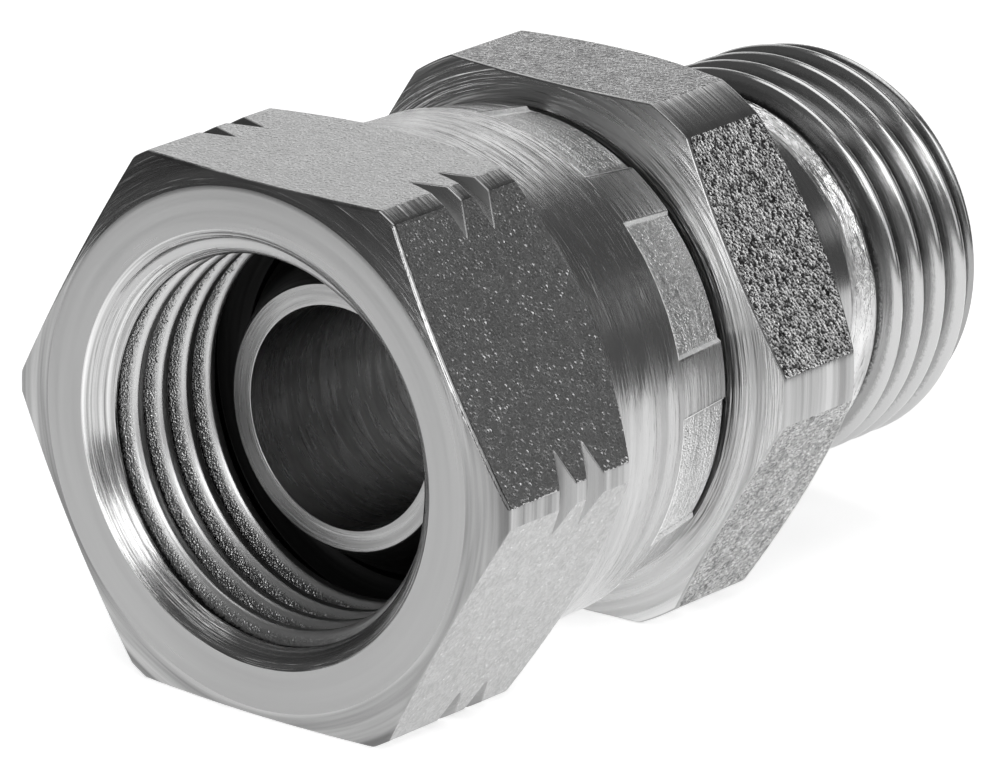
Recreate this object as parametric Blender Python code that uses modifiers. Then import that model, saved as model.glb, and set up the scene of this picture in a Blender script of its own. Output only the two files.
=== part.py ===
"""Hydraulic swivel connector: a threaded body with a coned nose, and a crimped nut that turns on it.

Both pieces are turned about the X axis. A station is a distance along that axis from the nut's
mouth, and a profile is a list of (radius, station) points. The connector lies on the lower flats of
its two hexagons, and the origin is on the surface that it lies on, under the middle of its length.
"""
import math

import bmesh
import bpy
from mathutils import Matrix

# The hexagon bar that both pieces are turned from, and the running gap between them
ACROSS_FLATS = 0.0270
RUNNING_GAP = 0.0003

# Parallel pipe thread, 14 turns to the inch, the same at both ends
THREAD_MAJOR_RADIUS = 0.0104775
THREAD_PITCH = 0.001814
THREAD_DEPTH = 0.001162
THREAD_FLANK_ANGLE = math.radians(27.5)
THREAD_ROOT_WIDTH = 0.00030

# Swivel nut, inside, from its mouth to the web that the body's collar pushes against
MOUTH_CLEARANCE = 0.00042
NUT_THREAD_LENGTH = 0.0083
NUT_THREAD_START_ANGLE = math.radians(-170.0)
RELIEF_CLEARANCE = 0.0002
RELIEF_LENGTH = 0.0023
WEB_LENGTH = 0.0013

# Swivel nut, hexagon
NUT_CORNER_CUT = 0.00029
NUT_FACE_INSET = 0.00055
NUT_CHAMFER_ANGLE = math.radians(12.8)
NUT_HEX_LENGTH = 0.0097
NUT_HEX_REAR_ANGLE = math.radians(36.0)

# V grooves across the nut's corners, counted forwards from the hexagon's rear
GROOVE_COUNT = 2
GROOVE_SETBACK = 0.00265
GROOVE_SPACING = 0.00205
GROOVE_DEPTH = 0.0008
GROOVE_WIDTH = 0.00125

# Swivel nut, skirt, with its end crimped in behind the collar
SKIRT_INSET = 0.00045
SKIRT_WALL = 0.0020
SKIRT_FILLET = 0.0012
SKIRT_FILLET_RISE = 0.0002
CRIMP_LENGTH = 0.0041
CRIMP_COUNT = 8
CRIMP_SPAN = math.radians(32.0)
CRIMP_DEPTH = 0.00018
CRIMP_FIRST_ANGLE = math.radians(15.0)
LIP_TURN_IN = 0.0006
LIP_WALL = 0.0023

# Connector body, bore, coned nose and collar
BORE_RADIUS = 0.00563
NOSE_SETBACK = 0.0018
NOSE_TIP_WALL = 0.00111
NOSE_CLEARANCE = 0.00042
CONE_HALF_ANGLE = math.radians(30.0)
COLLAR_LENGTH = 0.0047

# Connector body, hexagon
LIP_GAP = 0.00065
BODY_FACE_INSET = 0.0015
BODY_FACE_RISE = 0.00085
BODY_CORNER_CUT = 0.00069
BODY_HEX_LENGTH = 0.0057
BODY_REAR_INSET = 0.0002
BODY_REAR_CHAMFER = 0.0010

# Connector body, male end
REAR_FILLET = 0.0009
UNDERCUT_CLEARANCE = 0.00005
UNDERCUT_LENGTH = 0.0081
RUN_UP_FILLET = 0.0012
RUN_UP_ANGLE = math.radians(45.0)
MALE_THREAD_LENGTH = 0.0079
END_CHAMFER = 0.00061
END_CHAMFER_ANGLE = math.radians(30.0)
SEAT_WALL = 0.00092

# How finely round shapes are divided, and how far a tool reaches past what it cuts
TURNING_STEPS = 72
CRIMP_STEPS = 6
REAR_FILLET_STEPS = 5
RUN_UP_STEPS = 3
MERGE_DISTANCE = 0.00001
SHARP_ANGLE = math.radians(20.0)
THREAD_OVERCUT = 0.00015
TOOL_OVERHANG = 0.001

NUT_COLOUR = (0.56, 0.57, 0.58, 1.0)
NUT_ROUGHNESS = 0.34
BODY_COLOUR = (0.62, 0.63, 0.64, 1.0)
BODY_ROUGHNESS = 0.30

# Radii that follow from the sizes above
HEXAGON_SIDES = 6
FLAT_RADIUS = ACROSS_FLATS / 2
CORNER_RADIUS = FLAT_RADIUS / math.cos(math.pi / HEXAGON_SIDES)
THREAD_ROOT_RADIUS = THREAD_MAJOR_RADIUS - THREAD_DEPTH
NUT_CORNER_RADIUS = CORNER_RADIUS - NUT_CORNER_CUT
SKIRT_RADIUS = FLAT_RADIUS - SKIRT_INSET
SKIRT_BORE_RADIUS = SKIRT_RADIUS - SKIRT_WALL
LIP_RADIUS = SKIRT_RADIUS - LIP_TURN_IN
LIP_BORE_RADIUS = LIP_RADIUS - LIP_WALL

# Stations that follow from the sizes above
NOSE_STATION = NUT_THREAD_LENGTH - NOSE_SETBACK
RELIEF_END = NUT_THREAD_LENGTH + RELIEF_LENGTH
THRUST_STATION = RELIEF_END + WEB_LENGTH
COLLAR_END = THRUST_STATION + COLLAR_LENGTH
CRIMP_START = COLLAR_END + RUNNING_GAP
NUT_LENGTH = CRIMP_START + CRIMP_LENGTH
BODY_FACE_STATION = NUT_LENGTH + LIP_GAP
BODY_HEX_START = BODY_FACE_STATION + BODY_FACE_RISE
BODY_HEX_END = BODY_HEX_START + BODY_HEX_LENGTH
BODY_REAR_STATION = BODY_HEX_END + BODY_REAR_CHAMFER
MALE_THREAD_START = BODY_REAR_STATION + UNDERCUT_LENGTH
BODY_END = MALE_THREAD_START + MALE_THREAD_LENGTH


def clear_scene():
    for item in list(bpy.data.objects):
        bpy.data.objects.remove(item, do_unlink=True)


def new_collection(name):
    collection = bpy.data.collections.new(name)
    bpy.context.scene.collection.children.link(collection)
    return collection


def steel(name, colour, roughness):
    material = bpy.data.materials.new(name)
    material.use_nodes = True
    shader = material.node_tree.nodes["Principled BSDF"]
    shader.inputs["Base Color"].default_value = colour
    shader.inputs["Metallic"].default_value = 1.0
    shader.inputs["Roughness"].default_value = roughness
    material.diffuse_color = colour
    return material


def on_axis(item):
    """Lays an object, made along its own Z from the nut's mouth, along the connector's axis."""
    item.rotation_euler = (0.0, math.radians(90.0), 0.0)
    item.location = (-BODY_END / 2, 0.0, FLAT_RADIUS)


def as_cutter(item, collection):
    for other in list(item.users_collection):
        other.objects.unlink(item)
    collection.objects.link(item)
    on_axis(item)
    item.hide_render = True
    item.display_type = "WIRE"


def arc(centre, radius, start, end, steps):
    """Points of an arc in (radius, station), from one angle to another."""
    points = []
    for i in range(steps + 1):
        angle = start + (end - start) * i / steps
        points.append((centre[0] + radius * math.cos(angle), centre[1] + radius * math.sin(angle)))
    return points


def turned(name, profile, collection):
    """A closed profile, turned a full circle about the axis."""
    mesh = bpy.data.meshes.new(name)
    points = [(radius, 0.0, station) for radius, station in profile]
    edges = [(i, (i + 1) % len(points)) for i in range(len(points))]
    mesh.from_pydata(points, edges, [])
    item = bpy.data.objects.new(name, mesh)
    collection.objects.link(item)
    on_axis(item)
    screw = item.modifiers.new("turning", "SCREW")
    screw.axis = "Z"
    screw.steps = TURNING_STEPS
    screw.render_steps = TURNING_STEPS
    screw.use_merge_vertices = True
    screw.merge_threshold = MERGE_DISTANCE
    return item


def hexagon_bar(name, start, end, collection):
    """The bar stock, longer than the piece at both ends, with its flats facing up and down."""
    bpy.ops.mesh.primitive_cylinder_add(
        vertices=HEXAGON_SIDES, radius=CORNER_RADIUS, depth=end - start + 2 * TOOL_OVERHANG)
    bar = bpy.context.object
    bar.name = name
    bar.data.transform(Matrix.Translation((0.0, 0.0, (start + end) / 2)))
    as_cutter(bar, collection)
    return bar


def swept_tool(name, section, first_angle, step_angle, step_rise, steps, collection):
    """A section of (radius, station) points, swept round the axis in steps that can also rise."""
    shape = bmesh.new()
    corners = [shape.verts.new((radius, 0.0, station)) for radius, station in section]
    face = shape.faces.new(corners)
    bmesh.ops.spin(
        shape, geom=[face] + list(face.edges) + corners, cent=(0.0, 0.0, 0.0), axis=(0.0, 0.0, 1.0),
        dvec=(0.0, 0.0, step_rise), angle=step_angle * steps, steps=steps)
    bmesh.ops.rotate(shape, verts=shape.verts, matrix=Matrix.Rotation(first_angle, 3, "Z"))
    bmesh.ops.recalc_face_normals(shape, faces=shape.faces)
    mesh = bpy.data.meshes.new(name)
    shape.to_mesh(mesh)
    shape.free()
    tool = bpy.data.objects.new(name, mesh)
    as_cutter(tool, collection)
    return tool


def thread_tool(name, root_radius, outward, start, end, first_angle, collection):
    """Cuts one right-hand thread. Outward is for an internal thread, whose root is its outer side."""
    reach = THREAD_DEPTH + THREAD_OVERCUT
    base_radius = root_radius - reach if outward else root_radius + reach
    half_root = THREAD_ROOT_WIDTH / 2
    half_base = half_root + reach * math.tan(THREAD_FLANK_ANGLE)
    section = [(base_radius, start - half_base), (base_radius, start + half_base)]
    section += [(root_radius, start + half_root), (root_radius, start - half_root)]
    steps = round((end - start) / THREAD_PITCH * TURNING_STEPS)
    return swept_tool(
        name, section, first_angle, 2 * math.pi / TURNING_STEPS, THREAD_PITCH / TURNING_STEPS, steps,
        collection)


def crimp_die(name, middle_angle, collection):
    """One die of the crimping tool: its hollow, coned face presses a shallow flat into the skirt."""
    outer = SKIRT_RADIUS + TOOL_OVERHANG
    past_lip = NUT_LENGTH + TOOL_OVERHANG
    front = SKIRT_RADIUS - CRIMP_DEPTH
    back = front - LIP_TURN_IN * (past_lip - CRIMP_START) / CRIMP_LENGTH
    section = [(outer, CRIMP_START), (front, CRIMP_START), (back, past_lip), (outer, past_lip)]
    return swept_tool(
        name, section, middle_angle - CRIMP_SPAN / 2, CRIMP_SPAN / CRIMP_STEPS, 0.0, CRIMP_STEPS,
        collection)


def cut(item, operation, cutter):
    modifier = item.modifiers.new(cutter.name, "BOOLEAN")
    modifier.operation = operation
    modifier.solver = "EXACT"
    modifier.object = cutter


def finish(item):
    """Puts the modifiers' result into the mesh, and shades it smooth up to its sharp edges."""
    evaluated = item.evaluated_get(bpy.context.evaluated_depsgraph_get())
    mesh = bpy.data.meshes.new_from_object(evaluated)
    item.modifiers.clear()
    item.data = mesh
    mesh.shade_smooth()
    mesh.set_sharp_from_angle(angle=SHARP_ANGLE)


def nut_profile():
    """The nut's section, down its outside from the lip to the mouth and back up the inside."""
    face_radius = FLAT_RADIUS - NUT_FACE_INSET
    chamfer = (NUT_CORNER_RADIUS - face_radius) * math.tan(NUT_CHAMFER_ANGLE)
    skirt_start = NUT_HEX_LENGTH + (NUT_CORNER_RADIUS - SKIRT_RADIUS) * math.tan(NUT_HEX_REAR_ANGLE)
    outside = [(LIP_RADIUS, NUT_LENGTH), (SKIRT_RADIUS, CRIMP_START)]
    outside += [(SKIRT_RADIUS, skirt_start + SKIRT_FILLET)]
    outside += [(SKIRT_RADIUS + SKIRT_FILLET_RISE, skirt_start)]
    outside += [(NUT_CORNER_RADIUS, NUT_HEX_LENGTH)]
    for i in range(GROOVE_COUNT):
        station = NUT_HEX_LENGTH - GROOVE_SETBACK - i * GROOVE_SPACING
        outside += [(NUT_CORNER_RADIUS, station + GROOVE_WIDTH / 2)]
        outside += [(NUT_CORNER_RADIUS - GROOVE_DEPTH, station)]
        outside += [(NUT_CORNER_RADIUS, station - GROOVE_WIDTH / 2)]
    outside += [(NUT_CORNER_RADIUS, chamfer), (face_radius, 0.0)]
    mouth_radius = THREAD_MAJOR_RADIUS + MOUTH_CLEARANCE
    relief_radius = THREAD_MAJOR_RADIUS + RELIEF_CLEARANCE
    relief_side = (relief_radius - THREAD_ROOT_RADIUS) / 2
    inside = [(mouth_radius, 0.0), (THREAD_ROOT_RADIUS, mouth_radius - THREAD_ROOT_RADIUS)]
    inside += [(THREAD_ROOT_RADIUS, NUT_THREAD_LENGTH)]
    inside += [(relief_radius, NUT_THREAD_LENGTH + relief_side)]
    inside += [(relief_radius, RELIEF_END - relief_side)]
    inside += [(THREAD_ROOT_RADIUS, RELIEF_END), (THREAD_ROOT_RADIUS, THRUST_STATION)]
    inside += [(SKIRT_BORE_RADIUS, THRUST_STATION + SKIRT_BORE_RADIUS - THREAD_ROOT_RADIUS)]
    inside += [(SKIRT_BORE_RADIUS, CRIMP_START), (LIP_BORE_RADIUS, NUT_LENGTH)]
    return outside + inside


def body_profile():
    """The body's section, down its outside from the male end to the nose and back up the bore."""
    chamfer_run = END_CHAMFER / math.tan(END_CHAMFER_ANGLE)
    outside = [(THREAD_MAJOR_RADIUS - END_CHAMFER, BODY_END)]
    outside += [(THREAD_MAJOR_RADIUS, BODY_END - chamfer_run), (THREAD_MAJOR_RADIUS, MALE_THREAD_START)]
    undercut = THREAD_ROOT_RADIUS - UNDERCUT_CLEARANCE
    fillet_rise = RUN_UP_FILLET * (1 - math.cos(RUN_UP_ANGLE))
    run_up = (THREAD_MAJOR_RADIUS - undercut - fillet_rise) / math.tan(RUN_UP_ANGLE)
    fillet_station = MALE_THREAD_START - run_up - RUN_UP_FILLET * math.sin(RUN_UP_ANGLE)
    outside += arc(
        (undercut + RUN_UP_FILLET, fillet_station), RUN_UP_FILLET,
        math.pi - RUN_UP_ANGLE, math.pi, RUN_UP_STEPS)
    outside += arc(
        (undercut + REAR_FILLET, BODY_REAR_STATION + REAR_FILLET), REAR_FILLET,
        math.pi, 3 * math.pi / 2, REAR_FILLET_STEPS)
    corner_radius = CORNER_RADIUS - BODY_CORNER_CUT
    outside += [(FLAT_RADIUS - BODY_REAR_INSET, BODY_REAR_STATION), (corner_radius, BODY_HEX_END)]
    outside += [(corner_radius, BODY_HEX_START), (FLAT_RADIUS - BODY_FACE_INSET, BODY_FACE_STATION)]
    neck = LIP_BORE_RADIUS - RUNNING_GAP
    collar = SKIRT_BORE_RADIUS - RUNNING_GAP
    nose = THREAD_ROOT_RADIUS - NOSE_CLEARANCE
    tip = BORE_RADIUS + NOSE_TIP_WALL
    cone_start = THRUST_STATION + RUNNING_GAP * math.sqrt(2.0) - THREAD_ROOT_RADIUS
    outside += [(neck, BODY_FACE_STATION), (neck, COLLAR_END + collar - neck), (collar, COLLAR_END)]
    outside += [(collar, cone_start + collar), (nose, cone_start + nose)]
    outside += [(nose, NOSE_STATION + (nose - tip) / math.tan(CONE_HALF_ANGLE)), (tip, NOSE_STATION)]
    seat_mouth = THREAD_ROOT_RADIUS - SEAT_WALL
    seat_run = (seat_mouth - BORE_RADIUS) / math.tan(CONE_HALF_ANGLE)
    inside = [(BORE_RADIUS, NOSE_STATION), (BORE_RADIUS, BODY_END - seat_run), (seat_mouth, BODY_END)]
    return outside + inside


def make_nut(parts, cutters):
    nut = turned("swivel_nut", nut_profile(), parts)
    nut.data.materials.append(steel("nut_steel", NUT_COLOUR, NUT_ROUGHNESS))
    cut(nut, "INTERSECT", hexagon_bar("nut_bar", 0.0, NUT_LENGTH, cutters))
    tap = thread_tool(
        "nut_tap", THREAD_MAJOR_RADIUS, True, -THREAD_PITCH, NUT_THREAD_LENGTH + RELIEF_LENGTH / 2,
        NUT_THREAD_START_ANGLE, cutters)
    cut(nut, "DIFFERENCE", tap)
    for i in range(CRIMP_COUNT):
        angle = CRIMP_FIRST_ANGLE + 2 * math.pi * i / CRIMP_COUNT
        cut(nut, "DIFFERENCE", crimp_die(f"crimp_die_{i + 1}", angle, cutters))
    finish(nut)


def make_body(parts, cutters):
    body = turned("connector_body", body_profile(), parts)
    body.data.materials.append(steel("body_steel", BODY_COLOUR, BODY_ROUGHNESS))
    cut(body, "INTERSECT", hexagon_bar("body_bar", NOSE_STATION, BODY_END, cutters))
    die = thread_tool(
        "body_die", THREAD_ROOT_RADIUS, False, MALE_THREAD_START - THREAD_PITCH,
        BODY_END + THREAD_PITCH, 0.0, cutters)
    cut(body, "DIFFERENCE", die)
    finish(body)


clear_scene()
parts_collection = new_collection("hydraulic_swivel_connector")
cutter_collection = new_collection("cutters")
make_nut(parts_collection, cutter_collection)
make_body(parts_collection, cutter_collection)
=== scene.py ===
import math

import bpy
from mathutils import Matrix, Vector


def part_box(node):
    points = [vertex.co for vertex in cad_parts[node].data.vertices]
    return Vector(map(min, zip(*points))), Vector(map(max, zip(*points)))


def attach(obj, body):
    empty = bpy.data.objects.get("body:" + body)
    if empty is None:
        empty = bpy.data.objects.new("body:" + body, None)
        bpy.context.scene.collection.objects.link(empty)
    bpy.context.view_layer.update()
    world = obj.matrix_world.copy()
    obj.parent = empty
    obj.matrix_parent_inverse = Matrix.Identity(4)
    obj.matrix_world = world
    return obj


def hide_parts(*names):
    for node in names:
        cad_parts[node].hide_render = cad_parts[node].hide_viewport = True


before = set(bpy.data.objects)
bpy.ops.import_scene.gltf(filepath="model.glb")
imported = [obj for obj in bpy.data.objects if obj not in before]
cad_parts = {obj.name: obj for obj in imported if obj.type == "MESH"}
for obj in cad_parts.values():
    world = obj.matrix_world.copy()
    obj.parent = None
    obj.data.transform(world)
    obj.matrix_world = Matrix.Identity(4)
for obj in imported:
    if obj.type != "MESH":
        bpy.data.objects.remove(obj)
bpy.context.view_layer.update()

# CONNECTOR BODY
# One piece of steel turned from hexagon bar: a coned nose with a bore, a thrust collar and a neck
# inside the nut, a wrench hexagon, an undercut and a male pipe thread. The flats keep the grained
# skin of the bar, and all the rest is turned. It is zinc plated.

# Lengths are in millimetres and angles round the axis in degrees. A station lies along the axis,
# counted from the nut's mouth. The others are radii, or sizes as their names say.
MM = 0.001
NUT_MOUTH_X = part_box("swivel_nut")[0].x
AXIS_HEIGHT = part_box("swivel_nut")[1].z / 2
SIDES = 6
SIDE_ANGLE = 60.0
FLAT_RADIUS = 13.5

# Both threads are half-inch parallel pipe threads, 14 turns to the inch, with rounded crests and
# roots. Their colour darkens at shares of their depth, as painted shade on the flanks and in the
# roots. In the nut's first groove the painted root shade and the grit fade out towards the mouth,
# at the stations given.
PITCH = 1.814
THREAD_MAJOR = 10.4775
THREAD_MINOR = 9.3155
THREAD_ROUND = 0.249
THREAD_FLANK = math.radians(27.5)
# Shares of the depth where the painted shade starts down the flank, where the near-black painted
# shade of the root starts, and how far these edges wander at random.
CREST_EDGE = (0.26, 0.42)
ROOT_EDGE = (0.66, 0.82)
SHADE_EDGE_JITTER = 0.07
# Stations in the nut's first groove over which the painted root shade, then the grit, fade in.
OPEN_GROOVE = (0.8, 1.6)
WIPED_GROOVE = (1.2, 2.4)

# How finely the meshes are divided, and how near to each other two points become one.
ROWS_A_PITCH = 16
EASE_STEPS = 2
EASE_LIMIT = 0.45
COLUMN_STEP = 1.5
COLUMN_CLEARANCE = 0.3 * COLUMN_STEP
LAND_EDGE = 0.22
LAND_BLEND = 0.03
MERGE = 0.004

BORE = 5.63
NOSE_TIP = 6.5
NOSE_RIM = 6.74
NOSE_CONE_END = 10.23
NOSE_BACK = 8.8955
THRUST_START = 11.904
COLLAR = 10.75
COLLAR_START = 13.76
COLLAR_END = 16.6
NECK = 9.85
NECK_START = 17.5
BODY_CORNER = 14.9
BODY_FACE = 21.65
BODY_FACE_RING = 12.0
BODY_HEX_START = 22.5
BODY_HEX_BEVEL = 0.16
BODY_HEX_END = 28.2
BODY_REAR = 29.2
BODY_REAR_RING = 13.3
REAR_FILLET = 0.9
UNDERCUT = 9.2655
UNDERCUT_END = 35.55
RUN_UP_FILLET = 1.2
RUN_UP_FILLET_START = 35.591
RUN_UP_START = 36.4395
BODY_CREST_AT_ZERO = 35.43
BODY_END = 45.2
END_CHAMFER = 0.61
END_CHAMFER_ANGLE = math.radians(30.0)
END_STEP = 0.06
SEAT = 8.3955
SEAT_BOTTOM = 40.41


def new_material(name, grey, roughness):
    material = bpy.data.materials.new(name)
    material.use_nodes = True
    shader = material.node_tree.nodes["Principled BSDF"]
    shader.inputs["Metallic"].default_value = 1.0
    shader.inputs["Base Color"].default_value = (grey, grey, grey, 1.0)
    shader.inputs["Roughness"].default_value = roughness
    return material


def add_node(tree, kind, inputs=(), **settings):
    """Adds a shader node. An input is a socket to link, or a value to set."""
    node = tree.nodes.new(kind)
    for name, value in settings.items():
        setattr(node, name, value)
    for key, value in dict(inputs).items():
        if isinstance(value, bpy.types.NodeSocket):
            tree.links.new(value, node.inputs[key])
        else:
            node.inputs[key].default_value = value
    return node


def calculate(tree, operation, *values):
    """A sum, product or the like of numbers and sockets, worked out in the material."""
    return add_node(tree, "ShaderNodeMath", enumerate(values), operation=operation).outputs[0]


def rescale(tree, value, low, high, new_low=0.0, new_high=1.0):
    """A number carried over from one range to another, and held at its ends."""
    ends = {"From Min": low, "From Max": high, "To Min": new_low, "To Max": new_high}
    return add_node(tree, "ShaderNodeMapRange", {"Value": value, **ends}).outputs[0]


def new_group(name, inputs, outputs):
    """An empty node group with number sockets, and its input and output nodes."""
    group = bpy.data.node_groups.new(name, "ShaderNodeTree")
    for label, value in inputs.items():
        socket = group.interface.new_socket(label, in_out="INPUT", socket_type="NodeSocketFloat")
        socket.default_value = value
    for label in outputs:
        group.interface.new_socket(label, in_out="OUTPUT", socket_type="NodeSocketFloat")
    return group, group.nodes.new("NodeGroupInput"), group.nodes.new("NodeGroupOutput")


def use_group(tree, group, **values):
    """Places a node group. A value is a socket to link, or a number to set."""
    inputs = {name.replace("_", " "): value for name, value in values.items()}
    return add_node(tree, "ShaderNodeGroup", inputs, node_tree=group).outputs


def put_out(group, end, **results):
    """Links results to the outputs of a group."""
    for name, socket in results.items():
        group.links.new(socket, end.inputs[name])
    return group


def make_from_axis():
    """Where a point lies: millimetres from the axis and from the nut's mouth, and its direction."""
    group, _, end = new_group("from_axis", {}, ["Radius", "Station", "Cosine", "Sine"])
    place = add_node(group, "ShaderNodeTexCoord").outputs["Object"]
    axes = add_node(group, "ShaderNodeSeparateXYZ", {0: place}).outputs
    across = calculate(group, "DIVIDE", axes["Y"], MM)
    up = calculate(group, "DIVIDE", calculate(group, "SUBTRACT", axes["Z"], AXIS_HEIGHT), MM)
    squares = [
        calculate(group, "POWER", calculate(group, "ABSOLUTE", part), 2.0) for part in (across, up)]
    radius = calculate(group, "SQRT", calculate(group, "ADD", *squares))
    along = calculate(group, "SUBTRACT", axes["X"], NUT_MOUTH_X)
    return put_out(
        group, end, Radius=radius, Station=calculate(group, "DIVIDE", along, MM),
        Cosine=calculate(group, "DIVIDE", across, radius),
        Sine=calculate(group, "DIVIDE", up, radius))


def make_turning_marks():
    """The lathe tool's fine rings: noise that is quick across the cut and slow round the axis."""
    fine_scale, broad_scale, broad_height = 1.0, 0.3, 1.5
    darkest, lightest = 0.32, 0.68
    group, start, end = new_group(
        "turning_marks", {"Marks per mm": 6.0, "Sweep": 2.0}, ["Height", "Tone"])
    where = use_group(group, from_axis)
    marks, sweep = start.outputs["Marks per mm"], start.outputs["Sweep"]
    vector = add_node(group, "ShaderNodeCombineXYZ", {
        0: calculate(group, "MULTIPLY", where["Station"], marks),
        1: calculate(group, "MULTIPLY", where["Radius"], marks),
        2: calculate(group, "MULTIPLY", where["Cosine"], sweep)}).outputs[0]
    turn = calculate(group, "MULTIPLY", where["Sine"], sweep)
    fine, broad = [add_node(
        group, "ShaderNodeTexNoise",
        {"Vector": vector, "W": turn, "Scale": scale, "Detail": 3.0, "Roughness": 0.6},
        noise_dimensions="4D").outputs[0] for scale in (fine_scale, broad_scale)]
    height = calculate(group, "ADD", fine, calculate(group, "MULTIPLY", broad, broad_height))
    return put_out(group, end, Height=height, Tone=rescale(group, broad, darkest, lightest))


def make_grain():
    """A sandy skin of grains that each have their own tone, with a few bright, deeper pits."""
    unpitted_share, pit_middle, pit_rim, faintest_pit = 0.89, 0.15, 0.50, 0.25
    blotch_scale, blotch_tone, blotch_low, blotch_high = 0.22, 0.25, 0.36, 0.64
    lowest_grain = 0.2
    group, start, end = new_group(
        "grain", {"Grains per mm": 5.0, "Pits": 1.0}, ["Height", "Specks", "Salt"])
    place = add_node(group, "ShaderNodeTexCoord").outputs["Object"]
    per_metre = calculate(group, "MULTIPLY", start.outputs["Grains per mm"], 1 / MM)
    cells = add_node(group, "ShaderNodeTexVoronoi", {"Vector": place, "Scale": per_metre}).outputs
    chance = add_node(group, "ShaderNodeSeparateColor", {0: cells["Color"]}).outputs
    pitted = calculate(group, "GREATER_THAN", chance[0], unpitted_share)
    bowls = rescale(group, cells["Distance"], pit_middle, pit_rim, 1.0, 0.0)
    dots = calculate(group, "MULTIPLY", bowls, pitted)
    brightness = rescale(group, chance[1], 0.0, 1.0, faintest_pit, 1.0)
    dots = calculate(group, "MULTIPLY", dots, brightness)
    blotch_per_metre = calculate(group, "MULTIPLY", per_metre, blotch_scale)
    blotches = add_node(
        group, "ShaderNodeTexNoise",
        {"Vector": place, "Scale": blotch_per_metre, "Detail": 3.0}).outputs[0]
    salt = calculate(
        group, "ADD", calculate(group, "MULTIPLY", chance[2], 1.0 - blotch_tone),
        rescale(group, blotches, blotch_low, blotch_high, 0.0, blotch_tone))
    heights = calculate(group, "ADD", chance[2], lowest_grain)
    grains = calculate(group, "MULTIPLY", cells["Distance"], heights)
    pits = calculate(group, "MULTIPLY", dots, start.outputs["Pits"])
    height = calculate(group, "SUBTRACT", grains, pits)
    return put_out(group, end, Height=height, Specks=dots, Salt=salt)


def make_thread_shade_and_grit():
    """Where a point lies on a thread, as masks for painted shade: how far down from the crest, with
    a ragged edge, how far down in the root, and how far inside. The painted root shade fades out in
    the first groove, at the nut's mouth, which is open to the light; the grit fades out there too,
    where the groove is wiped clean."""
    group, start, end = new_group(
        "thread_shade_and_grit", {"Crest": 9.0, "Root": 10.0, "Grains per mm": 9.0},
        ["Flank", "Root", "Inside"])
    where = use_group(group, from_axis)
    salt = use_group(group, grain, Grains_per_mm=start.outputs["Grains per mm"])["Salt"]
    # Share of the depth, with a random ragged edge, that sets the painted shade on the flanks and
    # in the roots.
    down = rescale(group, where["Radius"], start.outputs["Crest"], start.outputs["Root"])
    edge_jitter = rescale(group, salt, 0.0, 1.0, -SHADE_EDGE_JITTER, SHADE_EDGE_JITTER)
    jittered_depth = calculate(group, "ADD", down, edge_jitter)
    shaded = rescale(group, where["Station"], *OPEN_GROOVE)
    root = calculate(group, "MULTIPLY", rescale(group, jittered_depth, *ROOT_EDGE), shaded)
    return put_out(
        group, end, Flank=rescale(group, jittered_depth, *CREST_EDGE), Root=root,
        Inside=rescale(group, where["Station"], *WIPED_GROOVE))


from_axis = make_from_axis()
turning_marks = make_turning_marks()
grain = make_grain()
thread_shade_and_grit = make_thread_shade_and_grit()


def raised(tree, height, depth, under=None):
    """The normal of a height, of a depth in millimetres, over another normal."""
    inputs = {"Height": height, "Distance": depth * MM, "Strength": 1.0}
    if under is not None:
        inputs["Normal"] = under
    return add_node(tree, "ShaderNodeBump", inputs).outputs[0]


def grey_between(tree, share, dark, light):
    """A grey that goes from dark to light with a share from 0 to 1. Either may be a socket."""
    first_colour, second_colour, mixed_colour = 6, 7, 2
    ends = {
        key: end if isinstance(end, bpy.types.NodeSocket) else (end, end, end, 1.0)
        for key, end in ((first_colour, dark), (second_colour, light))}
    mix = add_node(tree, "ShaderNodeMix", {0: share, **ends}, data_type="RGBA")
    return mix.outputs[mixed_colour]


def set_shader(material, **links):
    shader = material.node_tree.nodes["Principled BSDF"]
    for name, socket in links.items():
        material.node_tree.links.new(socket, shader.inputs[name.replace("_", " ")])
    return material


def turned_steel(name, dark, light, roughness, marks, depth, sweep=2.0):
    """Plated steel off the lathe, with rings in its shape, its tone and its gloss."""
    dull, glossy = 1.3, 0.8
    material = new_material(name, light, roughness)
    tree = material.node_tree
    rings = use_group(tree, turning_marks, Marks_per_mm=marks, Sweep=sweep)
    gloss = rescale(tree, rings["Tone"], 0.0, 1.0, roughness * dull, roughness * glossy)
    return set_shader(
        material, Base_Color=grey_between(tree, rings["Tone"], dark, light), Roughness=gloss,
        Normal=raised(tree, rings["Height"], depth))


def grained_steel(name, dark, light, roughness, grains, depth, pits, salt, ring_depth=0.0):
    """Plated steel with a sandy skin, over turning marks where their depth is given."""
    material = new_material(name, dark, roughness)
    tree = material.node_tree
    sand = use_group(tree, grain, Grains_per_mm=grains, Pits=pits)
    share = calculate(tree, "ADD", sand["Specks"], calculate(tree, "MULTIPLY", sand["Salt"], salt))
    under = None
    if ring_depth:
        ring_tone = 0.35
        rings = use_group(tree, turning_marks, Marks_per_mm=4.5, Sweep=6.0)
        toned = calculate(tree, "MULTIPLY", rings["Tone"], ring_tone)
        share = calculate(tree, "ADD", share, toned)
        under = raised(tree, rings["Height"], ring_depth)
    return set_shader(
        material, Base_Color=grey_between(tree, share, dark, light),
        Normal=raised(tree, sand["Height"], depth, under))


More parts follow.
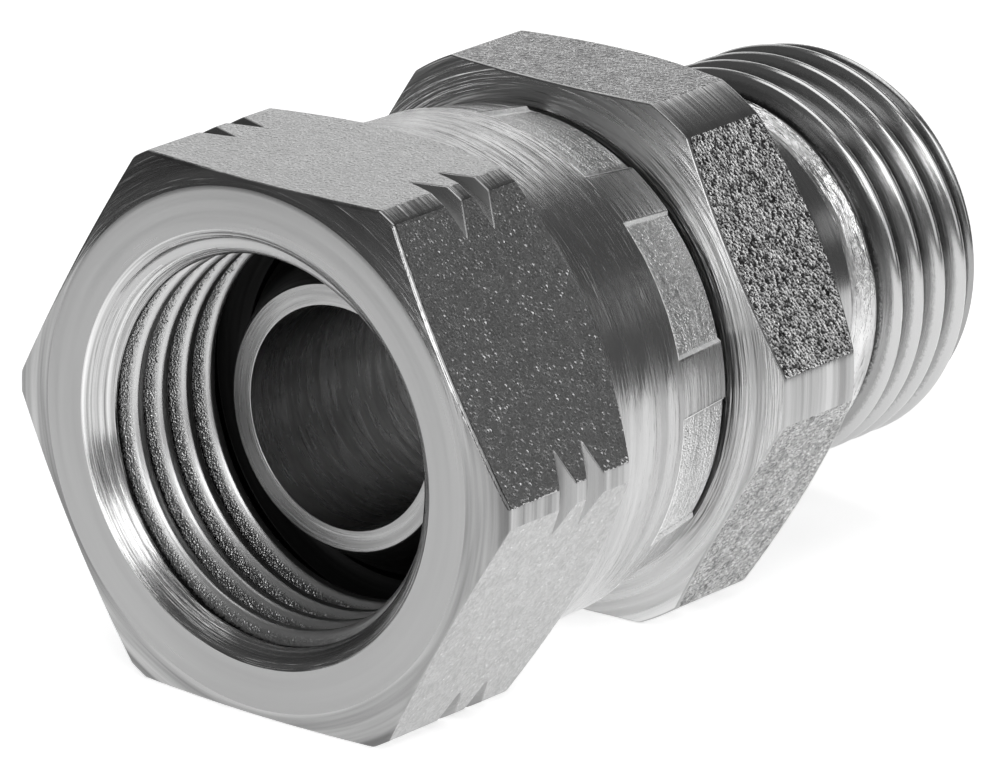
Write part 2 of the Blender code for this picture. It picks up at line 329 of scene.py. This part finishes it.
def thread_steel(name, top, bottom, greys, roughness, marks, depth, grains, grit=0.0):
    """Plated thread with greys for its crests, flanks and roots, and sandy where it has grit. The
    darker flank grey and the near-black root grey are painted shade.
    """
    crest_grey, flank_grey, painted_root_shade_grey = greys
    darkest_grain, lightest_grain = 0.45, 1.5
    material = new_material(name, crest_grey, roughness)
    tree = material.node_tree
    rings = use_group(tree, turning_marks, Marks_per_mm=marks, Sweep=2.0)
    tone = use_group(tree, thread_shade_and_grit, Crest=top, Root=bottom, Grains_per_mm=grains)
    flank, normal = flank_grey, raised(tree, rings["Height"], depth)
    if grit:
        sand = use_group(tree, grain, Grains_per_mm=grains, Pits=1.0)
        sandy = grey_between(
            tree, sand["Salt"], flank_grey * darkest_grain, flank_grey * lightest_grain)
        sandy = grey_between(tree, sand["Specks"], sandy, crest_grey)
        flank = grey_between(tree, tone["Inside"], flank_grey, sandy)
        sanded = calculate(tree, "MULTIPLY", sand["Height"], tone["Flank"])
        sanded = calculate(tree, "MULTIPLY", sanded, tone["Inside"])
        normal = raised(tree, sanded, grit, normal)
    # Painted shade: the grey darkens from the crest grey down the flank, then to the root grey.
    colour = grey_between(tree, tone["Flank"], crest_grey, flank)
    colour = grey_between(tree, tone["Root"], colour, painted_root_shade_grey)
    return set_shader(material, Base_Color=colour, Normal=normal)


def eased(corners):
    """A closed section's points: radius, station, direction and finish, with each corner rounded
    over by its own ease. A corner without ease stays one point."""
    points = []
    for i, (radius, station, ease, finish) in enumerate(corners):
        here = Vector((radius, station))
        before = here - Vector(corners[i - 1][:2])
        after = Vector(corners[(i + 1) % len(corners)][:2]) - here
        reach = min(ease, EASE_LIMIT * before.length, EASE_LIMIT * after.length)
        before.normalize()
        after.normalize()
        first = here - reach * before
        last = here + reach * after
        for share in [step / EASE_STEPS for step in range(EASE_STEPS + 1)] if ease else [0.5]:
            point = first.lerp(here, share).lerp(here.lerp(last, share), share)
            points.append((*point, *before.lerp(after, share), finish))
    return points


def column_angles(corner_radius, extra=()):
    """Angles round the axis, with some on the edges of each corner's turned land."""
    land = SIDE_ANGLE / 2 - math.degrees(math.acos(FLAT_RADIUS / corner_radius))
    wanted = [
        SIDE_ANGLE * i + side * (land + beside)
        for i in range(SIDES) for side in (-1, 1) for beside in (-LAND_EDGE, 0.0, LAND_EDGE)]
    wanted = sorted({round(a % 360.0, 3) for a in wanted + list(extra)})
    steps = [i * COLUMN_STEP for i in range(round(360.0 / COLUMN_STEP))]
    return sorted(wanted + [a for a in steps if all(
        abs((a - w + 180.0) % 360.0 - 180.0) > COLUMN_CLEARANCE for w in wanted)])


def flat_distance(angle):
    """How far the plane of the nearest flat lies from the axis at an angle."""
    return FLAT_RADIUS / math.cos(math.radians(angle % SIDE_ANGLE - SIDE_ANGLE / 2))


def hexagon_radius(angle, corner_radius):
    """How far the bar's surface lies from the axis at an angle: its flats and turned corners."""
    flat = flat_distance(angle)
    overlap = max(LAND_BLEND - abs(flat - corner_radius), 0.0)
    return min(flat, corner_radius) - overlap ** 2 / (4 * LAND_BLEND)


def thread_form(offset):
    """Depth of the male thread below its crest, at an offset along the axis from the crest."""
    offset = abs((offset + PITCH / 2) % PITCH - PITCH / 2)
    reach = THREAD_ROUND * math.cos(THREAD_FLANK)
    if offset < reach:
        return THREAD_ROUND - math.sqrt(THREAD_ROUND ** 2 - offset ** 2)
    if offset > PITCH / 2 - reach:
        return (THREAD_MAJOR - THREAD_MINOR - THREAD_ROUND
                + math.sqrt(THREAD_ROUND ** 2 - (PITCH / 2 - offset) ** 2))
    return THREAD_ROUND * (1 - math.sin(THREAD_FLANK)) + (offset - reach) / math.tan(THREAD_FLANK)


def thread_corners(angle, low, high, crest_at_zero, radius_at, finish_at):
    """Corners that follow a helix from low to high, as many at each angle."""
    first = math.floor((low - crest_at_zero) / PITCH) - 1
    turns = math.ceil((high - low) / PITCH) + 2
    corners = []
    for i in range(turns * ROWS_A_PITCH + 1):
        station = crest_at_zero + PITCH * (first + i / ROWS_A_PITCH + angle / 360.0)
        station = min(max(station, low), high)
        offset = station - crest_at_zero - PITCH * angle / 360.0
        corners.append((radius_at(station, offset), station, 0.0, finish_at(station, offset)))
    return corners


def slope(before, here, after, gap_before, gap_after):
    """How fast a size changes at a column, from those at uneven gaps before and after it."""
    return (gap_after * (here - before) / gap_before + gap_before * (after - here) / gap_after) / (
        gap_before + gap_after)


def lathe(name, angles, section_at, materials):
    """A closed piece from its section at each angle, which gives the corners before, on and after
    its thread. The thread's rows move on by one pitch in each turn."""
    sections = [section_at(angle) for angle in angles]
    columns = [eased(before + thread + after) for before, thread, after in sections]
    count = len(columns[0])
    first = sum(EASE_STEPS + 1 if ease else 1 for _, _, ease, _ in sections[0][0])
    last = first + len(sections[0][1]) - 1
    outline = columns[0]
    area = sum(outline[i - 1][0] * p[1] - p[0] * outline[i - 1][1] for i, p in enumerate(outline))
    side = 1.0 if area > 0.0 else -1.0

    def next_row(row, column, step):
        crosses_seam = column + step in (-1, len(columns))
        if crosses_seam and first <= row <= last:
            return min(max(row + step * ROWS_A_PITCH, first), last)
        return row

    numbers, places, normals, keys = {}, [], [], []
    for c, column in enumerate(columns):
        turn = math.radians(angles[c])
        out = Vector((0.0, math.cos(turn), math.sin(turn)))
        round_axis = Vector((0.0, -math.sin(turn), math.cos(turn)))
        along = Vector((1.0, 0.0, 0.0))
        gap_before = math.radians((angles[c] - angles[c - 1]) % 360.0)
        gap_after = math.radians((angles[(c + 1) % len(angles)] - angles[c]) % 360.0)
        for row, (radius, station, way_out, way_along, _) in enumerate(column):
            before = columns[c - 1][next_row(row, c, -1)]
            after = columns[(c + 1) % len(columns)][next_row(row, c, 1)]
            rise = slope(before[0], radius, after[0], gap_before, gap_after)
            drift = slope(before[1], station, after[1], gap_before, gap_after)
            normal = side * (
                radius * way_along * out + (drift * way_out - rise * way_along) * round_axis
                - radius * way_out * along)
            place = Vector((NUT_MOUTH_X, 0.0, AXIS_HEIGHT)) + MM * (radius * out + station * along)
            key = tuple(round(v / (MERGE * MM)) for v in place)
            if key not in numbers:
                numbers[key] = len(places)
                places.append(place)
                normals.append(Vector())
            normals[numbers[key]] += normal
            keys.append(numbers[key])

    faces, slots = [], []
    order = {finish: i for i, finish in enumerate(materials)}
    for c, column in enumerate(columns):
        beside = (c + 1) % len(columns)
        for row, (*_, finish) in enumerate(column):
            above = (row + 1) % count
            corners = [
                keys[c * count + row], keys[beside * count + next_row(row, c, 1)],
                keys[beside * count + next_row(above, c, 1)], keys[c * count + above]]
            face = [v for i, v in enumerate(corners) if v != corners[i - 1]]
            if len(set(face)) == len(face) > 2:
                faces.append(face if side > 0.0 else face[::-1])
                slots.append(order[finish])

    mesh = bpy.data.meshes.new(name)
    mesh.from_pydata(places, [], faces)
    for material in materials.values():
        mesh.materials.append(material)
    mesh.polygons.foreach_set("material_index", slots)
    mesh.polygons.foreach_set("use_smooth", [True] * len(faces))
    mesh.normals_split_custom_set_from_vertices([n.normalized() for n in normals])
    piece = bpy.data.objects.new(name, mesh)
    bpy.context.scene.collection.objects.link(piece)
    return piece


def body_turned_radius(station):
    """The male end's outline before the thread is cut."""
    if station < RUN_UP_FILLET_START:
        return UNDERCUT
    if station < RUN_UP_START:
        run = station - RUN_UP_FILLET_START
        return UNDERCUT + RUN_UP_FILLET - math.sqrt(RUN_UP_FILLET ** 2 - run ** 2)
    run_up = UNDERCUT + RUN_UP_FILLET * (1 - math.sqrt(0.5)) + station - RUN_UP_START
    end_chamfer = THREAD_MAJOR - END_CHAMFER + (BODY_END - station) * math.tan(END_CHAMFER_ANGLE)
    return min(run_up, THREAD_MAJOR, end_chamfer)


def body_thread_radius(station, offset):
    return min(THREAD_MAJOR - thread_form(offset), body_turned_radius(station))


def body_thread_finish(station, offset):
    is_cut = THREAD_MAJOR - thread_form(offset) < body_turned_radius(station)
    return "thread" if is_cut else "run_up"


def body_section(angle):
    hexagon = hexagon_radius(angle, BODY_CORNER)
    flats = "turned" if flat_distance(angle) > BODY_CORNER else "grained"
    front = (BODY_HEX_START - BODY_FACE) / (BODY_CORNER - BODY_FACE_RING)
    rear = (BODY_REAR - BODY_HEX_END) / (BODY_CORNER - BODY_REAR_RING)
    hex_start = BODY_FACE + (hexagon - BODY_FACE_RING) * front
    hex_end = BODY_HEX_END + (BODY_CORNER - hexagon) * rear
    before = [
        (BORE, NOSE_TIP, 0.05, "nose"),
        # The nose cone, thrust face, collar and neck take the near-black painted shade of the cone
        # finish.
        (NOSE_RIM, NOSE_TIP, 0.06, "cone"),
        (NOSE_BACK, NOSE_CONE_END, 0.15, "cone"),
        (NOSE_BACK, THRUST_START, 0.05, "cone"),
        (COLLAR, COLLAR_START, 0.1, "cone"),
        (COLLAR, COLLAR_END, 0.1, "cone"),
        (NECK, NECK_START, 0.2, "cone"),
        (NECK, BODY_FACE, 0.1, "shoulder"),
        (BODY_FACE_RING, BODY_FACE, 0.7, "shoulder"),
        (hexagon, hex_start, 0.13, "turned"),
        (hexagon, hex_start + BODY_HEX_BEVEL, 0.0, flats),
        (hexagon, hex_end, 0.09, "turned"),
        (BODY_REAR_RING, BODY_REAR, 0.1, "turned"),
        (UNDERCUT, BODY_REAR, REAR_FILLET, "turned"),
    ]
    thread = thread_corners(
        angle, UNDERCUT_END, BODY_END, BODY_CREST_AT_ZERO, body_thread_radius, body_thread_finish)
    after = [
        (thread[-1][0] - END_STEP, BODY_END, 0.0, "turned"),
        (SEAT, BODY_END, 0.06, "turned"),
        (BORE, SEAT_BOTTOM, 0.1, "bore"),
    ]
    return before, thread, after


body_materials = {
    "nose": turned_steel(
        "nose_steel", dark=0.26, light=0.42, roughness=0.26, marks=7.0, depth=0.012),
    # Painted shade: the nose cone, thrust face, collar and neck lie in shade inside the nut, so
    # this steel is near black.
    "cone": turned_steel(
        "nose_cone_painted_shade_steel", dark=0.04, light=0.08, roughness=0.40, marks=6.0, depth=0.006),
    "shoulder": turned_steel(
        "shoulder_steel", dark=0.42, light=0.68, roughness=0.26, marks=4.0, depth=0.075),
    "turned": turned_steel(
        "body_turned_steel", dark=0.30, light=0.54, roughness=0.22, marks=5.0, depth=0.024),
    "grained": grained_steel(
        "body_flat_steel", dark=0.06, light=0.76, roughness=0.20, grains=5.5, depth=0.26,
        pits=0.6, salt=0.95),
    # Its darker flank grey and near-black root grey are painted shade in the thread's valleys.
    "thread": thread_steel(
        "male_thread_steel", THREAD_MAJOR, THREAD_MINOR, greys=(0.54, 0.34, 0.05),
        roughness=0.20, marks=8.0, depth=0.008, grains=16.0),
    # Painted highlight: the run-up's steel is lighter than the other turned steel, for the bright
    # band there.
    "run_up": turned_steel(
        "run_up_painted_highlight_steel", dark=0.50, light=0.80, roughness=0.26, marks=5.0, depth=0.14, sweep=8.0),
    "bore": turned_steel(
        "bore_steel", dark=0.30, light=0.46, roughness=0.26, marks=7.0, depth=0.010, sweep=6.0),
}
body_piece = lathe("turned_body", column_angles(BODY_CORNER), body_section, body_materials)
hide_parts("connector_body")
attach(body_piece, "body")

# SWIVEL NUT
# One piece of steel turned from the same bar: a countersunk mouth, an internal pipe thread, a
# wrench hexagon with two V grooves across its corners, and a thin skirt. Eight dies have pressed
# the skirt's end in behind the body's collar, so the nut turns but can't come off.
NUT_CORNER = 15.298
NUT_FACE = 12.95
NUT_CHAMFER_ANGLE = math.radians(12.8)
NUT_HEX_END = 9.7
NUT_REAR_ANGLE = math.radians(36.0)
NUT_LENGTH = 21.0
GROOVE_STATIONS = (7.05, 5.0)
GROOVE_DEPTH = 0.8
GROOVE_BOTTOM = NUT_CORNER - GROOVE_DEPTH
GROOVE_HALF_WIDTH = 0.625
GROOVE_END_ANGLE = 8.63

CRIMP_START = 16.9
SKIRT = 13.05
SKIRT_FLARE = ((0.002, CRIMP_START - 0.1, 0.04), (0.13, 13.4, 0.6), (0.22, 11.4, 0.5))
SKIRT_BORE = 11.05
SKIRT_BORE_START = 13.63
LIP = 12.45
LIP_BORE = 10.15
CRIMP_FRONT = 0.14
CRIMP_COUNT = 8
CRIMP_SPACING = 360.0 / CRIMP_COUNT
CRIMP_FIRST_ANGLE = 15.0
CRIMP_SPAN = 32.0
CRIMP_WALL = 0.8
CRIMP_WALL_EASE = 0.1
CRIMP_DEPTH = 0.18
CRIMP_BURR = 0.03

MOUTH = 10.9
MOUTH_STEP = 0.2
MOUTH_STEP_RADIUS = 10.53
NUT_MINOR = 9.45
NUT_ROOT_AT_ZERO = 0.02
NUT_THREAD_END = 8.3
RELIEF = 10.6775
RELIEF_START = 8.98
RELIEF_END = 9.92
WEB = 9.3155
WEB_START = 10.6
WEB_END = 11.9


def crimp_press(angle):
    """How deep the dies have pressed the skirt at an angle."""
    half = CRIMP_SPACING / 2
    from_middle = abs((angle - CRIMP_FIRST_ANGLE + half) % CRIMP_SPACING - half)
    return CRIMP_DEPTH * min(max((CRIMP_SPAN / 2 - from_middle) / CRIMP_WALL, 0.0), 1.0)


def nut_thread_radius(offset):
    """The nut's thread before its crests are bored out."""
    return THREAD_MINOR + thread_form(PITCH / 2 - offset)


def countersink_radius(station):
    return MOUTH_STEP_RADIUS - (station - MOUTH_STEP)


def nut_bore_radius(station, offset):
    """The nut's inside: the thread, opened by the countersink in front and the relief behind."""
    thread = max(nut_thread_radius(offset), NUT_MINOR)
    ramp = (station - NUT_THREAD_END) * (RELIEF - NUT_MINOR) / (RELIEF_START - NUT_THREAD_END)
    return max(thread, countersink_radius(station), min(NUT_MINOR + ramp, RELIEF))


def nut_bore_finish(station, offset):
    is_cut = nut_thread_radius(offset) > countersink_radius(station)
    return "nut_thread" if is_cut else "mouth"


def nut_section(angle):
    hexagon = hexagon_radius(angle, NUT_CORNER)
    flats = "turned" if flat_distance(angle) > NUT_CORNER else "sanded"
    press = crimp_press(angle)
    burr = CRIMP_BURR * press / CRIMP_DEPTH
    # Where the dies pressed, the crimps' walls and front steps take a near-white painted highlight.
    floor = "crimped" if press == CRIMP_DEPTH else "crimp_edge_painted_highlight" if press else "skirt"
    edge = "crimp_edge_painted_highlight" if press else "skirt"
    taper = (SKIRT - LIP) / (NUT_LENGTH - CRIMP_START)
    hex_end = NUT_HEX_END + (NUT_CORNER - hexagon) * math.tan(NUT_REAR_ANGLE)
    before = [
        (LIP - press, NUT_LENGTH, 0.1, floor),
        (SKIRT - taper * CRIMP_FRONT - press, CRIMP_START + CRIMP_FRONT, 0.04, edge),
        (SKIRT + burr, CRIMP_START, 0.04, edge),
    ]
    before += [(SKIRT + rise, station, ease, "skirt") for rise, station, ease in SKIRT_FLARE]
    before.append((hexagon, hex_end, 0.08, flats))
    depth_share = max(hexagon - GROOVE_BOTTOM, 0.0) / (NUT_CORNER - GROOVE_BOTTOM)
    half = GROOVE_HALF_WIDTH * depth_share
    cut = "groove" if half else flats
    for station in GROOVE_STATIONS:
        before += [
            (hexagon, station + half, 0.08, cut),
            (min(hexagon, GROOVE_BOTTOM), station, 0.04, cut),
            (hexagon, station - half, 0.05, flats),
        ]
    before += [
        (hexagon, (hexagon - NUT_FACE) * math.tan(NUT_CHAMFER_ANGLE), 0.18, "chamfered"),
        (NUT_FACE, 0.0, 0.12, "faced"),
        (MOUTH, 0.0, 0.03, "mouth"),
    ]
    thread = thread_corners(
        angle, MOUTH_STEP, RELIEF_START, NUT_ROOT_AT_ZERO, nut_bore_radius, nut_bore_finish)
    after = [
        # The relief, web and skirt bore take the near-black painted shade of the recess finish.
        (RELIEF, RELIEF_END, 0.05, "recess"),
        (WEB, WEB_START, 0.05, "recess"),
        (WEB, WEB_END, 0.05, "recess"),
        (SKIRT_BORE, SKIRT_BORE_START, 0.05, "recess"),
        (SKIRT_BORE, CRIMP_START, 0.05, "recess"),
        (LIP_BORE, NUT_LENGTH, 0.1, "turned"),
    ]
    return before, thread, after


crimp_edges = [
    CRIMP_FIRST_ANGLE + CRIMP_SPACING * i + side * (CRIMP_SPAN / 2 - inside)
    for i in range(CRIMP_COUNT) for side in (-1, 1)
    for inside in (0.0, CRIMP_WALL_EASE, CRIMP_WALL - CRIMP_WALL_EASE, CRIMP_WALL)]
groove_ends = [SIDE_ANGLE * i + side * GROOVE_END_ANGLE for i in range(SIDES) for side in (-1, 1)]
nut_materials = {
    "turned": turned_steel(
        "nut_turned_steel", dark=0.22, light=0.52, roughness=0.22, marks=5.0, depth=0.030),
    "skirt": turned_steel(
        "skirt_steel", dark=0.40, light=0.56, roughness=0.24, marks=4.0, depth=0.075, sweep=3.0),
    "chamfered": turned_steel(
        "nut_chamfer_steel", dark=0.16, light=0.52, roughness=0.18, marks=3.5, depth=0.035),
    "groove": turned_steel(
        "groove_steel", dark=0.28, light=0.40, roughness=0.26, marks=5.0, depth=0.004),
    "sanded": grained_steel(
        "nut_flat_steel", dark=0.36, light=0.80, roughness=0.30, grains=6.0, depth=0.05,
        pits=0.5, salt=0.45),
    "faced": turned_steel(
        "nut_face_steel", dark=0.37, light=0.385, roughness=0.32, marks=5.0, depth=0.003),
    "mouth": turned_steel(
        "mouth_steel", dark=0.12, light=0.82, roughness=0.18, marks=13.0, depth=0.034, sweep=1.2),
    "crimped": grained_steel(
        "crimped_steel", dark=0.44, light=1.0, roughness=0.30, grains=8.0, depth=0.07,
        pits=0.4, salt=0.55, ring_depth=0.14),
    # Painted highlight: the crimps' walls and front steps are near white.
    "crimp_edge_painted_highlight": grained_steel(
        "crimp_edge_painted_highlight_steel", dark=0.85, light=1.0, roughness=0.60, grains=8.0, depth=0.05,
        pits=0.4, salt=0.5),
    # Its darker flank grey and near-black root grey are painted shade in the thread's grooves.
    "nut_thread": thread_steel(
        "nut_thread_steel", NUT_MINOR, THREAD_MAJOR, greys=(0.60, 0.48, 0.012),
        roughness=0.36, marks=7.0, depth=0.012, grains=10.0, grit=0.05),
    # Painted shade: the relief, web and skirt bore lie in shade deep inside the nut, so this steel
    # is near black.
    "recess": turned_steel(
        "recess_painted_shade_steel", dark=0.015, light=0.03, roughness=0.50, marks=6.0, depth=0.008),
}
nut_piece = lathe(
    "crimped_nut", column_angles(NUT_CORNER, crimp_edges + groove_ends), nut_section, nut_materials)
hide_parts("swivel_nut")
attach(nut_piece, "nut")

# TABLE
# A round, matt white light table, 0.3 m across. It is lit softly from below as well as from
# above, so the shadow under the connector is light.
TABLE_RADIUS = 0.15
TABLE_SIDES = 128
TABLE_DROP = 0.0001
TABLE_GLOW = 0.63

rim_angles = [math.tau * i / TABLE_SIDES for i in range(TABLE_SIDES)]
rim = [(TABLE_RADIUS * math.cos(a), TABLE_RADIUS * math.sin(a), 0.0) for a in rim_angles]
table_mesh = bpy.data.meshes.new("table")
table_mesh.from_pydata(rim, [], [list(range(TABLE_SIDES))])
table = bpy.data.objects.new("table", table_mesh)
table.location.z = -TABLE_DROP
bpy.context.scene.collection.objects.link(table)
opal = new_material("opal_table", grey=0.90, roughness=0.9)
opal_shader = opal.node_tree.nodes["Principled BSDF"]
opal_shader.inputs["Metallic"].default_value = 0.0
opal_shader.inputs["Emission Color"].default_value = (1.0, 1.0, 1.0, 1.0)
opal_shader.inputs["Emission Strength"].default_value = TABLE_GLOW
table_mesh.materials.append(opal)

# LIGHTS
# A dim studio with plain soft boxes: one overhead, two behind the connector, the key light above
# the camera, one low in front of the nut's mouth, a small one at the right towards the male end,
# and one at each side.
BOX_DISTANCE = 0.5
ROOM_GREY = 0.10


def soft_box(name, azimuth, elevation, wide, high, brightness):
    """A soft box towards the connector, with its place and its spread as angles in degrees."""
    across, up = math.radians(azimuth), math.radians(elevation)
    direction = Vector((
        math.cos(up) * math.cos(across), math.cos(up) * math.sin(across), math.sin(up)))
    lamp = bpy.data.lights.new(name, "AREA")
    lamp.shape = "RECTANGLE"
    lamp.size = 2 * BOX_DISTANCE * math.tan(math.radians(wide / 2))
    lamp.size_y = 2 * BOX_DISTANCE * math.tan(math.radians(high / 2))
    lamp.energy = brightness * math.pi * lamp.size * lamp.size_y
    item = bpy.data.objects.new(name, lamp)
    item.location = Vector((0.0, 0.0, AXIS_HEIGHT)) + BOX_DISTANCE * direction
    item.rotation_euler = direction.to_track_quat("Z", "Y").to_euler()
    item.visible_camera = False
    bpy.context.scene.collection.objects.link(item)


soft_box("overhead", azimuth=0.0, elevation=90.0, wide=44.0, high=44.0, brightness=1.6)
soft_box("behind", azimuth=38.0, elevation=16.0, wide=46.0, high=36.0, brightness=0.95)
soft_box("behind_high", azimuth=20.0, elevation=33.0, wide=24.0, high=22.0, brightness=0.66)
soft_box("key", azimuth=-141.0, elevation=32.0, wide=31.0, high=28.0, brightness=3.2)
soft_box("front_low", azimuth=-176.0, elevation=8.0, wide=26.0, high=20.0, brightness=3.2)
soft_box("right_back", azimuth=-37.0, elevation=20.0, wide=14.0, high=12.0, brightness=0.36)
soft_box("right_side", azimuth=-100.0, elevation=26.0, wide=40.0, high=50.0, brightness=0.9)
soft_box("left_side", azimuth=70.0, elevation=30.0, wide=12.0, high=40.0, brightness=0.7)

world = bpy.data.worlds.new("studio")
world.use_nodes = True
bpy.context.scene.world = world
room = world.node_tree.nodes["Background"]
room.inputs["Color"].default_value = (ROOM_GREY, ROOM_GREY, ROOM_GREY, 1.0)
backdrop = add_node(world.node_tree, "ShaderNodeBackground", {"Color": (1.0, 1.0, 1.0, 1.0)})
seen = add_node(world.node_tree, "ShaderNodeLightPath").outputs["Is Camera Ray"]
choice = add_node(
    world.node_tree, "ShaderNodeMixShader", {0: seen, 1: room.outputs[0], 2: backdrop.outputs[0]})
world.node_tree.links.new(choice.outputs[0], world.node_tree.nodes["World Output"].inputs[0])
bpy.context.scene.view_settings.view_transform = "Standard"

# CAMERA
# At the photograph's angle: far off with a long lens, 19 degrees above the table, and looking
# into the nut's mouth.
CAMERA_PLACE = (-0.3310, -0.2598, 0.1552)
CAMERA_RIGHT = (0.6259, -0.7797, 0.0161)
CAMERA_UP = (0.2431, 0.2147, 0.9459)
CAMERA_BACK = (-0.7410, -0.5881, 0.3239)

view = bpy.data.cameras.new("camera")
view.sensor_width = 36.0
view.lens = 321.6
view.shift_x = 0.0003
view.shift_y = -0.0018
view.clip_start = 0.01
view.clip_end = 20.0
camera = bpy.data.objects.new("camera", view)
camera_turn = Matrix((CAMERA_RIGHT, CAMERA_UP, CAMERA_BACK)).transposed().to_4x4()
camera.matrix_world = Matrix.Translation(CAMERA_PLACE) @ camera_turn
bpy.context.scene.collection.objects.link(camera)
bpy.context.scene.camera = camera
